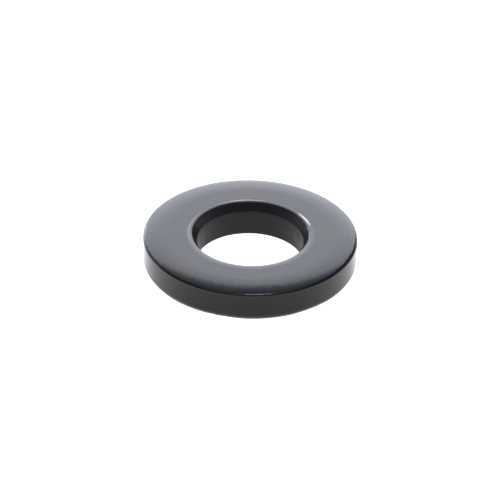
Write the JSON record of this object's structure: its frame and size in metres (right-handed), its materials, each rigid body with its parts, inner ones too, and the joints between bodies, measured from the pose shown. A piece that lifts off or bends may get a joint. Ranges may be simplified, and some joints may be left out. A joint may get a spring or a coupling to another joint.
{
  "type": "flat washer",
  "caption": "Thick round flat washer with a countersunk bore and a rolled-over upper rim, spreading the load under a bolt head or nut.",
  "frame": {"origin": "centre of the bore, in the plane of the lower face", "axes": "+Z along the bore's axis, out of the countersunk upper face; the washer is round about Z, so X and Y may be turned freely"},
  "size_m": [0.0272, 0.0272, 0.0044],
  "materials": {
    "black_oxide_steel": "satin"
  },
  "bodies": {
    "root": {"flat_washer": "black_oxide_steel"}
  },
  "joints": []
}
